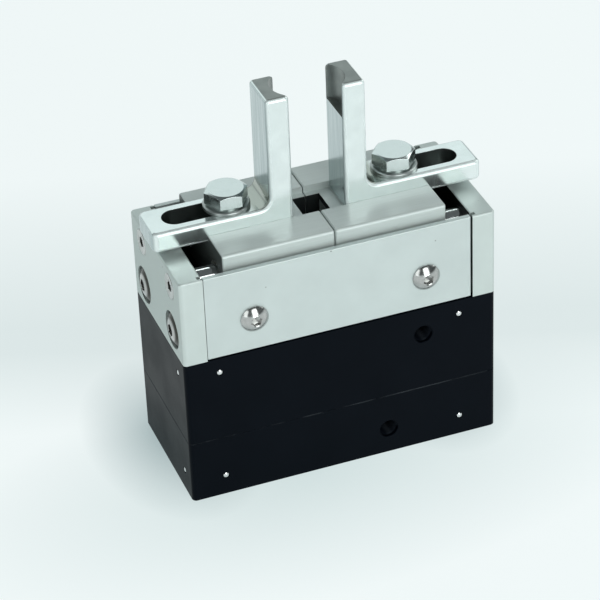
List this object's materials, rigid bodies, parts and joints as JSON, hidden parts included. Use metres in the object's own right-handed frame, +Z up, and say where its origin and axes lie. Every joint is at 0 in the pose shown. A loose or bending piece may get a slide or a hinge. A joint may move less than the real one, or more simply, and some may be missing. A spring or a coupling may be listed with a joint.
{
  "type": "parallel gripper",
  "caption": "Pneumatic parallel gripper: black body with air ports, bright jaw housing, carriages that slide on guide rods, and bolted L-shaped fingers with slotted feet.",
  "frame": {"origin": "centre of the bottom face", "axes": "+Z up from the base to the finger tips; X along the jaws' travel; -Y out of the face with the air ports"},
  "size_m": [0.0876, 0.0424, 0.104],
  "materials": {
    "black_anodised": "black anodised, fine satin",
    "clear_anodised": "clear anodised, fine matt",
    "carriage_steel": "ground",
    "finger_steel": "ground, bright",
    "zinc_steel": "bright zinc plated",
    "screw_steel": "bright stainless",
    "bright_steel": "hardened and polished",
    "bush_bronze": "sintered bronze",
    "piston_aluminium": "turned",
    "seal_rubber": "matt black"
  },
  "bodies": {
    "housing": {"base_block": "black_anodised", "cylinder_block": "black_anodised", "joint_seal": "seal_rubber", "rod_bush": "bush_bronze", "rod_seal": "seal_rubber", "ball_plugs": "bright_steel", "body_screws": "screw_steel", "guide_frame": "black_anodised", "left_end_plate": "clear_anodised", "right_end_plate": "clear_anodised", "end_plate_screws": "screw_steel", "front_cover": "clear_anodised", "rear_cover": "clear_anodised", "cover_screws": "screw_steel", "front_guide_rod": "bright_steel", "rear_guide_rod": "bright_steel", "rod_screws": "screw_steel"},
    "drive": {"piston": "piston_aluminium", "piston_seal": "seal_rubber", "piston_rod": "bright_steel", "piston_screw": "screw_steel", "drive_cam": "carriage_steel", "cam_screw": "screw_steel"},
    "left_jaw": {"left_carriage": "carriage_steel", "left_carriage_bushes": "bush_bronze", "left_cam_pin": "bright_steel", "left_finger_bolt": "zinc_steel", "left_bolt_washer": "zinc_steel"},
    "right_jaw": {"right_carriage": "carriage_steel", "right_carriage_bushes": "bush_bronze", "right_cam_pin": "bright_steel", "right_finger_bolt": "zinc_steel", "right_bolt_washer": "zinc_steel"},
    "left_grip": {"left_finger": "finger_steel"},
    "right_grip": {"right_finger": "finger_steel"}
  },
  "joints": [
    {"name": "left_jaw_slide", "type": "slide", "parent": "housing", "child": "left_jaw", "axis": [-1, 0, 0], "range_m": [0, 0.005]},
    {"name": "right_jaw_slide", "type": "slide", "parent": "housing", "child": "right_jaw", "axis": [1, 0, 0], "range_m": [0, 0.005]},
    {"name": "piston_slide", "type": "slide", "parent": "housing", "child": "drive", "axis": [0, 0, 1], "range_m": [0, 0.0075]},
    {"name": "left_finger_adjust", "type": "slide", "parent": "left_jaw", "child": "left_grip", "axis": [1, 0, 0], "range_m": [0, 0.0065]},
    {"name": "right_finger_adjust", "type": "slide", "parent": "right_jaw", "child": "right_grip", "axis": [-1, 0, 0], "range_m": [0, 0.0065]}
  ],
  "couplings": [
    {"joint": "right_jaw_slide", "follows": "left_jaw_slide", "ratio": 1},
    {"joint": "piston_slide", "follows": "left_jaw_slide", "ratio": 1.5}
  ]
}
